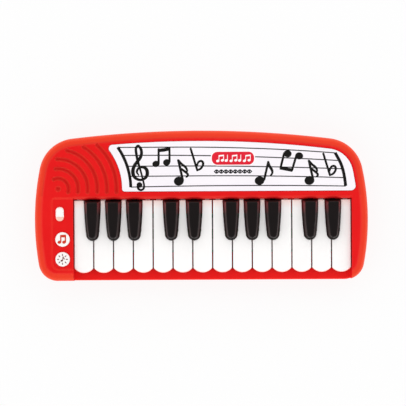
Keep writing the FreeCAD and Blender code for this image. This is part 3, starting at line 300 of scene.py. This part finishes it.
def speaker_paper():
    made = Shader("speaker_paper", Roughness=0.85)
    fibre = made.noise(700, 5, 0.7, (1.0, 1.0, 0.2))
    made.colour(made.ramp(fibre, (0.3, (0.012, 0.012, 0.012)), (0.8, (0.04, 0.038, 0.035))))
    made.bump(fibre, 0.06, 0.7)
    return made


white_abs = (rgb(250, 248, 247), rgb(246, 244, 243), rgb(252, 251, 250))
black_abs = (rgb(17, 11, 11), rgb(13, 8, 8), rgb(22, 15, 15))
# painted light: the white keys glow faintly, which lifts their shaded parts as light scattered inside the
# plastic would
MATERIALS = {
    "case_red": case_plastic(),
    "inlay_white": plastic("inlay_white", rgb(247, 242, 247), rgb(244, 239, 244), rgb(249, 245, 249),
                           rough=(0.34, 0.42), grain=0.006, Specular_IOR_Level=0.4),
    # the two colours after the tones are painted shade and red reflection for the key flanks
    "key_white": key_plastic("key_white", white_abs, rgb(120, 60, 56), rgb(150, 70, 66), Roughness=0.2,
                             Coat_Weight=0.2, Coat_Roughness=0.08, Emission_Color=(1.0, 0.97, 0.96, 1.0),
                             Emission_Strength=0.04),
    "key_black": key_plastic("key_black", black_abs, rgb(36, 8, 8), rgb(104, 20, 25), Roughness=0.45,
                             Specular_IOR_Level=0.2),
    "button_white": plastic("button_white", rgb(250, 246, 243), rgb(246, 241, 238), rgb(252, 249, 246),
                            rough=(0.24, 0.32), Coat_Weight=0.15, Coat_Roughness=0.1),
    "silicone": matt("silicone", (0.36, 0.37, 0.38, 1), (0.46, 0.47, 0.48, 1), (0.55, 0.7), 300, 0.01,
                     Subsurface_Weight=0.2, Subsurface_Scale=0.002),
    "circuit_board": solder_mask(),
    "component_black": matt("component_black", (0.010, 0.010, 0.011, 1), (0.025, 0.025, 0.027, 1)),
    "bare_steel": metal("bare_steel", (0.70, 0.70, 0.69, 1), (0.22, 0.4)),
    "nickel": metal("nickel", (0.78, 0.74, 0.66, 1), (0.12, 0.25), (1.0, 0.1, 1.0)),
    "speaker_paper": speaker_paper(),
    "magnet_grey": matt("magnet_grey", (0.05, 0.05, 0.055, 1), (0.09, 0.09, 0.095, 1), (0.5, 0.7), 700, 0.04),
    "cell_wrap": cell_label(),
    "wire_cover": plastic("wire_cover", (0.42, 0.02, 0.015), (0.34, 0.015, 0.012), (0.5, 0.03, 0.02),
                          rough=(0.35, 0.5), grain=0.02),
    "foot_rubber": matt("foot_rubber", (0.012, 0.012, 0.012, 1), (0.03, 0.03, 0.03, 1), (0.7, 0.9), 900, 0.06),
}

ink = matt("printing_ink", rgb(14, 12, 11), rgb(20, 17, 16), (0.5, 0.6), 900, 0.004, Specular_IOR_Level=0.15)
line_ink = matt("line_ink", rgb(28, 26, 30), rgb(38, 36, 40), (0.5, 0.6), 900, 0.004, Specular_IOR_Level=0.15)
plaque_ink = screen_ink("plaque_ink", rgb(222, 24, 48), rgb(214, 20, 44), rgb(228, 30, 52))
plaque_white = screen_ink("plaque_white", rgb(252, 248, 248), rgb(248, 243, 243), rgb(254, 252, 252))
icon_ink = screen_ink("icon_ink", rgb(204, 58, 34), rgb(192, 50, 29), rgb(214, 68, 40))
ray_ink = screen_ink("ray_ink", rgb(104, 40, 28), rgb(92, 34, 24), rgb(118, 48, 34))

for subpart in frame["record"]["subparts"]:
    node = frame["nodes"][subpart["node"]]
    node.data.materials.clear()
    node.data.materials.append(MATERIALS[subpart["material_slot"]].material)
frame["nodes"]["power_switch_knob"].data.materials[0] = knob_plastic().material

# ---------------------------------------------------------------- printing


def smooth(points, steps=8):
    """A smooth curve through points; each point may carry a width as its third number."""
    if len(points) < 3:
        return points
    ends = [tuple(2 * a - b for a, b in zip(points[0], points[1]))]
    ends += list(points)
    ends += [tuple(2 * a - b for a, b in zip(points[-1], points[-2]))]
    out = []
    for p0, p1, p2, p3 in zip(ends, ends[1:], ends[2:], ends[3:]):
        for step in range(steps):
            t = step / steps
            out.append(tuple(0.5 * (2 * b + (c - a) * t + (2 * a - 5 * b + 4 * c - d) * t * t
                                    + (3 * b - a - 3 * c + d) * t ** 3)
                             for a, b, c, d in zip(p0, p1, p2, p3)))
    out.append(points[-1])
    return out


class Print:
    """Flat printing in one ink: closed slivers standing just proud of the surface under them."""

    def __init__(self, base, height=INK):
        self.mesh = bmesh.new()
        self.base = base
        self.height = height

    def fill(self, faces, points, lift=0.0):
        """Faces index the points; walls close the outline between a lower and an upper copy."""
        levels = []
        for z in (self.base - 0.02, self.base + self.height + lift):
            levels.append([self.mesh.verts.new((x * MM, y * MM, z * MM)) for x, y in points])
        low, high = levels
        sides = {}
        for face in faces:
            self.mesh.faces.new([high[i] for i in face])
            self.mesh.faces.new([low[i] for i in reversed(face)])
            for a, b in zip(face, face[1:] + face[:1]):
                if (b, a) in sides:
                    del sides[(b, a)]
                else:
                    sides[(a, b)] = True
        for a, b in sides:
            self.mesh.faces.new((low[a], low[b], high[b], high[a]))

    def disc(self, x, y, across, along=None, turn=0.0, lift=0.0, count=28):
        along = along or across
        cos, sin = math.cos(math.radians(turn)), math.sin(math.radians(turn))
        points = []
        for step in range(count):
            angle = 2 * math.pi * step / count
            u, v = across * math.cos(angle), along * math.sin(angle)
            points.append((x + u * cos - v * sin, y + u * sin + v * cos))
        self.fill([tuple(range(count))], points, lift)

    def stroke(self, points, width=None, lift=0.0, blunt=False):
        """A line of varying width through points, with round ends unless it is blunt."""
        path = smooth([(*point[:2], width or point[2]) for point in points])
        left, right, normals = [], [], []
        for index, (x, y, wide) in enumerate(path):
            before, after = path[max(index - 1, 0)], path[min(index + 1, len(path) - 1)]
            along = Vector((after[0] - before[0], after[1] - before[1])).normalized()
            across = Vector((-along.y, along.x)) * (wide / 2)
            normals.append(across)
            left.append((x + across.x, y + across.y))
            right.append((x - across.x, y - across.y))
        count = len(path)
        points = left + right
        faces = [(i, i + count, i + count + 1, i + 1) for i in range(count - 1)]
        if not blunt:
            for end, way in ((0, 1), (count - 1, -1)):
                x, y = path[end][:2]
                across = normals[end]
                rim = [end]
                for step in range(1, 8):
                    angle = math.pi * step / 8 * way
                    turned = Vector((across.x * math.cos(angle) - across.y * math.sin(angle),
                                     across.x * math.sin(angle) + across.y * math.cos(angle)))
                    rim.append(len(points))
                    points.append((x + turned.x, y + turned.y))
                rim.append(end + count)
                faces.append(tuple(rim if way > 0 else reversed(rim)))
        self.fill(faces, points, lift)

    def area(self, points, lift=0.0):
        self.fill([tuple(range(len(points)))], points, lift)

    def piece(self, name, shader, body):
        bmesh.ops.recalc_face_normals(self.mesh, faces=self.mesh.faces)
        mesh = bpy.data.meshes.new(name)
        self.mesh.to_mesh(mesh)
        self.mesh.free()
        mesh.materials.append(shader.material)
        made = bpy.data.objects.new(name, mesh)
        bpy.context.scene.collection.objects.link(made)
        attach(made, body)
        return made


def shifted(points, x, y):
    return [(x + point[0], y + point[1], *point[2:]) for point in points]


GRILLE = (-141.4, 17.1)
BAR_RADIUS = 71.8
# each staff line: its highest level, where along X that is, and how much it bends down on either side
LINES = ((57.75, -24, 0.0, 2.65e-4), (49.8, -55, 0.0, 1.67e-4), (39.1, -30, 0.0, 1.25e-4),
         (29.25, 8, 0.3e-4, 1.4e-4), (19.5, 40, 0.85e-4, 1.0e-4))
RIGHT_BAR = ((132.5, 51.4), (133.9, 49.0), (138.5, 39.8), (141.2, 30.0), (142.8, 18.6))


def line_height(line, x):
    """The staff's lines run nearly level on the left and sink towards the right."""
    level, middle, left, right = LINES[line]
    return level - (left if x < middle else right) * (x - middle) ** 2


def staff():
    lines = Print(INLAY_TOP, 0.04)
    right = smooth(RIGHT_BAR, 24)
    for number, line in enumerate(LINES):
        start = GRILLE[0] + math.sqrt(BAR_RADIUS ** 2 - (line[0] - GRILLE[1]) ** 2)
        stop = min(right, key=lambda p: abs(p[1] - line_height(number, p[0])))[0]
        count = 24
        places = [start + (stop - start) * step / count for step in range(count + 1)]
        lines.stroke([(x, line_height(number, x)) for x in places], 1.0, blunt=True)
    lines.piece("staff_lines", line_ink, "case")

    bars = Print(INLAY_TOP)
    rise = [57.9 - (57.9 - 18.3) * step / 12 for step in range(13)]
    bars.stroke([(GRILLE[0] + math.sqrt(BAR_RADIUS ** 2 - (y - GRILLE[1]) ** 2), y) for y in rise], 2.9,
                blunt=True)
    bars.stroke(RIGHT_BAR, 3.0, blunt=True)
    bars.piece("staff_bars", ink, "case")


def clef(x, y):
    """A treble clef drawn in one stroke from its inner curl, with a blob on its tail."""
    curl = ((-0.1, -4.7, 1.3), (-1.8, -1.8, 2.1), (-0.6, 1.4, 2.3), (2.5, 3.1, 2.6), (6.1, 2.4, 3.0),
            (8.2, -0.4, 3.5), (8.3, -4.5, 3.4), (6.2, -7.9, 2.8), (2.0, -9.6, 2.4), (-2.4, -8.3, 2.8),
            (-5.1, -5.0, 3.4), (-5.7, -0.5, 3.6), (-4.4, 4.0, 3.3), (-1.8, 8.0, 3.1), (1.1, 11.5, 3.1),
            (2.8, 15.8, 3.0), (2.4, 20.6, 2.8), (-0.4, 24.2, 2.4), (-2.6, 21.2, 2.5), (-2.1, 15.0, 2.6))
    tail = ((-2.1, 15.0, 2.6), (-0.7, 8.5, 2.4), (0.9, 3.0, 2.1), (2.4, -2.5, 1.8), (3.9, -8.5, 1.8),
            (5.2, -14.5, 1.9), (4.8, -18.0, 2.0), (2.4, -19.6, 2.1), (-0.1, -18.6, 2.2), (-1.2, -16.3, 2.2))
    sign = Print(INLAY_TOP)
    sign.stroke(shifted(curl, x, y))
    sign.stroke(shifted(tail, x, y), lift=0.01)
    sign.disc(x + 0.7, y - 14.6, 2.8, lift=0.02)
    sign.piece("treble_clef", ink, "case")


def sixteenth(name, x, y, wide=1.0, tall=1.0):
    def along(points):
        return [(x + across * wide, y + rise * tall, width) for across, rise, width in points]
    note = Print(INLAY_TOP)
    note.disc(x, y, 4.9, 4.4, 12)
    note.stroke(along(((4.0, 0.8, 2.3), (-0.4, 20.4, 2.3))), lift=0.01)
    note.stroke(along(((-0.4, 20.4, 2.4), (2.9, 16.8, 2.3), (6.4, 14.0, 2.3), (8.2, 10.8, 2.0),
                       (8.0, 8.9, 1.4))), lift=0.02)
    note.stroke(along(((1.4, 12.8, 2.0), (5.2, 10.0, 2.3), (8.4, 7.3, 2.3), (9.0, 5.3, 1.9),
                       (7.4, 3.9, 1.4))), lift=0.03)
    note.piece(name, ink, "case")


def flat_sign(name, x, y):
    sign = Print(INLAY_TOP)
    sign.stroke(((x, y), (x - 6.4, y + 21.2)), 2.1)
    sign.stroke(shifted(((-0.6, 3.6, 1.7), (1.2, 8.0, 2.0), (4.1, 9.1, 2.2), (5.8, 7.1, 2.3), (5.2, 4.1, 2.2),
                         (3.1, 1.4, 2.1), (0.2, 0.0, 1.8)), x, y), lift=0.01)
    sign.piece(name, ink, "case")


def eighth(name, x, y):
    note = Print(INLAY_TOP)
    note.disc(x, y, 4.8, 4.3, 12)
    note.stroke(((x + 4.6, y + 1.0), (x + 8.7, y + 18.4)), 2.2, lift=0.01)
    note.stroke(shifted(((8.7, 18.4, 2.0), (9.9, 14.4, 2.6), (12.2, 10.6, 2.6), (12.6, 7.4, 2.0),
                         (10.8, 4.8, 1.4)), x, y), lift=0.02)
    note.piece(name, ink, "case")


def upright_pair(name, x, y):
    """Two beamed notes; x and y are the left note's head."""
    pair = Print(INLAY_TOP)
    pair.disc(x, y, 3.6, 3.1, 15)
    pair.disc(x + 10.6, y + 1.4, 3.6, 3.2, 15)
    pair.stroke(((x + 2.7, y + 0.8), (x + 2.7, y + 14.4)), 2.1, lift=0.01)
    pair.stroke(((x + 13.4, y + 2.2), (x + 13.4, y + 15.4)), 2.1, lift=0.01)
    pair.area(((x + 1.7, y + 11.4), (x + 7.9, y + 12.0), (x + 14.4, y + 13.3), (x + 14.4, y + 16.6),
               (x + 7.9, y + 15.5), (x + 1.7, y + 14.9)), lift=0.02)
    pair.piece(name, ink, "case")


def hanging_pair(name, x, y):
    """Two notes hanging upside down from a slanted beam; x and y are the left note's head."""
    pair = Print(INLAY_TOP)
    pair.disc(x, y, 3.9, 3.6, -10)
    pair.disc(x + 11.4, y - 2.2, 3.9, 3.5, -10)
    pair.stroke(((x - 3.4, y + 0.4), (x - 7.0, y - 13.6)), 2.2, lift=0.01)
    pair.stroke(((x + 8.6, y - 2.0), (x + 4.3, y - 16.2)), 2.2, lift=0.01)
    pair.area(((x - 8.1, y - 15.5), (x + 4.4, y - 18.0), (x + 5.6, y - 14.8), (x - 7.2, y - 12.5)), lift=0.02)
    pair.piece(name, ink, "case")


def rounded_bar(printing, x, y, half_wide, half_high, corner, lift=0.0):
    points = []
    for sx, sy, start in ((1, 1, 0), (-1, 1, 90), (-1, -1, 180), (1, -1, 270)):
        for step in range(9):
            angle = math.radians(start + 90 * step / 8)
            points.append((x + sx * (half_wide - corner) + corner * math.cos(angle),
                           y + sy * (half_high - corner) + corner * math.sin(angle)))
    printing.area(points, lift)


def plaque(x, y):
    """A red plaque with a row of small notes, and a wavy flourish under it."""
    margin = Print(INLAY_TOP, 0.05)
    rounded_bar(margin, x, y, 21.9, 7.4, 6.4)
    margin.piece("plaque_margin", plaque_white, "case")
    ground = Print(INLAY_TOP, 0.08)
    rounded_bar(ground, x, y, 20.9, 6.4, 5.6)
    ground.piece("plaque_ground", plaque_ink, "case")

    notes = Print(INLAY_TOP + 0.06, 0.05)
    for step in (-2, 0, 2):
        left = x + step * 6.6 - 1.8
        notes.disc(left, y - 2.6, 1.6, 1.3, 15)
        notes.disc(left + 4.6, y - 2.0, 1.6, 1.3, 15)
        notes.stroke(((left + 1.2, y - 2.2), (left + 1.2, y + 2.6)), 0.7, lift=0.01)
        notes.stroke(((left + 5.8, y - 1.6), (left + 5.8, y + 3.2)), 0.7, lift=0.01)
        notes.area(((left + 0.9, y + 1.6), (left + 6.1, y + 2.2), (left + 6.1, y + 3.6), (left + 0.9, y + 3.0)),
                   lift=0.02)
    for step in (-1, 1):
        left = x + step * 6.6
        notes.disc(left, y - 2.2, 1.6, 1.3, 15)
        notes.stroke(((left + 1.2, y - 1.8), (left + 1.2, y + 3.2)), 0.7, lift=0.01)
    notes.piece("plaque_notes", plaque_white, "case")

    wave = Print(INLAY_TOP)
    for side in (-1, 1):
        wave.stroke([(x - 18.5 + step * 0.925, y - 13.1 + side * 1.35 * math.sin(step * math.pi / 5),
                      1.15 - 0.35 * math.cos(step * math.pi / 2.5)) for step in range(41)],
                    lift=0.01 * side)
    for step in range(8):
        wave.disc(x - 16.2 + step * 4.625, y - 13.1, 0.75, lift=0.02, count=12)
    wave.piece("plaque_flourish", line_ink, "case")


def button_icons():
    base = BUTTON_TOP - ICON_SUNK
    x, y = BUTTON_X, SONG_BUTTON_Y
    notes = Print(base, ICON_INK)
    for head_x in (-2.9, 1.7):
        notes.disc(x + head_x, y - 2.6, 1.9, 1.55, 15)
    notes.stroke(((x - 1.6, y - 2.4), (x - 1.6, y + 3.6)), 1.3, lift=0.01)
    notes.stroke(((x + 3.0, y - 2.2), (x + 3.0, y + 3.7)), 1.3, lift=0.01)
    notes.area(((x - 2.2, y + 2.0), (x + 3.6, y + 2.2), (x + 3.6, y + 4.7), (x - 2.2, y + 4.5)), lift=0.02)
    notes.piece("song_icon", icon_ink, "song_button")

    y = TEMPO_BUTTON_Y
    rays = Print(base, ICON_INK)
    for step in range(8):
        angle = math.radians(45 * step)
        cos, sin = math.cos(angle), math.sin(angle)
        rays.stroke(((x + 3.7 * cos, y + 3.7 * sin), (x + 4.9 * cos, y + 4.9 * sin)), 0.85)
    rays.piece("tempo_rays", ray_ink, "tempo_button")
    note = Print(base, ICON_INK)
    note.disc(x - 0.7, y - 1.3, 1.15, 0.95, 15)
    note.stroke(((x + 0.2, y - 1.1), (x + 0.5, y + 2.5)), 0.75, lift=0.01)
    note.stroke(((x + 0.5, y + 2.5), (x + 1.3, y + 1.1), (x + 2.0, y + 0.2)), 0.75, lift=0.02)
    note.piece("tempo_note", ray_ink, "tempo_button")


staff()
clef(-61.7, 35.1)
upright_pair("beamed_pair_left", -44.6, 41.3)
sixteenth("sixteenth_left", -22.1, 24.2)
flat_sign("flat_sign_left", -3.8, 34.8)
eighth("eighth_note", 57.7, 24.2)
hanging_pair("beamed_pair_right", 85.6, 50.7)
sixteenth("sixteenth_right", 107.0, 24.2, 0.92, 0.94)
flat_sign("flat_sign_right", 127.3, 29.3)
plaque(31.5, 46.5)
button_icons()

# ---------------------------------------------------------------- floor, light and camera


def floor():
    """A plain pale floor that glows enough to stay white under the object's edge."""
    mesh = bpy.data.meshes.new("floor")
    reach = 6.0
    mesh.from_pydata([(-reach, -reach, 0), (reach, -reach, 0), (reach, reach, 0), (-reach, reach, 0)], [],
                     [(0, 1, 2, 3)])
    made = bpy.data.objects.new("floor", mesh)
    bpy.context.scene.collection.objects.link(made)
    shader = Shader("floor", Roughness=0.9, Base_Color=(0.12, 0.12, 0.12, 1.0), Specular_IOR_Level=0.1,
                    Emission_Color=(1.0, 1.0, 1.0, 1.0), Emission_Strength=0.86)
    mesh.materials.append(shader.material)


def sky():
    """Soft light from the sides, and a darker ceiling so that level surfaces keep their colour."""
    world = bpy.data.worlds.new("studio")
    bpy.context.scene.world = world
    world.use_nodes = True
    tree = world.node_tree
    axes = tree.nodes.new("ShaderNodeSeparateXYZ")
    ramp = tree.nodes.new("ShaderNodeValToRGB")
    place = tree.nodes.new("ShaderNodeTexCoord")
    tree.links.new(place.outputs["Generated"], axes.inputs["Vector"])
    tree.links.new(axes.outputs["Z"], ramp.inputs["Fac"])
    elements = ramp.color_ramp.elements
    stops = ((0.0, 1.0), (0.55, 1.0), (0.80, 0.75), (0.93, 0.07))
    while len(elements) < len(stops):
        elements.new(0.5)
    for element, (position, value) in zip(elements, stops):
        element.position = position
        element.color = (value, value, value, 1.0)
    background = tree.nodes["Background"]
    tree.links.new(ramp.outputs["Color"], background.inputs["Color"])
    background.inputs["Strength"].default_value = 1.42


def lamp(name, place, target, wide, power):
    data = bpy.data.lights.new(name, "AREA")
    data.shape = "SQUARE"
    data.size = wide
    data.energy = power
    made = bpy.data.objects.new(name, data)
    made.location = place
    made.rotation_euler = (Vector(target) - Vector(place)).to_track_quat("-Z", "Y").to_euler()
    bpy.context.scene.collection.objects.link(made)


def camera():
    data = bpy.data.cameras.new("camera")
    made = bpy.data.objects.new("camera", data)
    bpy.context.scene.collection.objects.link(made)
    bpy.context.scene.camera = made
    distance = 1.25
    across = 0.4025               # width of the view at the distance of the aim
    aim = Vector((0.0017, 0.0024, 0.030))
    roll = math.radians(-0.3)
    data.sensor_width = 36
    data.lens = data.sensor_width * distance / across
    data.clip_start = 0.05
    data.clip_end = 20
    made.location = aim + Vector((0, 0, distance))
    made.rotation_euler = (0.0, 0.0, roll)


floor()
sky()
lamp("front_soft", (-0.2, -1.4, 0.9), (0, 0, 0), 1.2, 3)
lamp("rear_soft", (0.3, 1.4, 0.9), (0, 0, 0), 1.2, 3)
camera()
bpy.context.scene.view_settings.view_transform = "Standard"
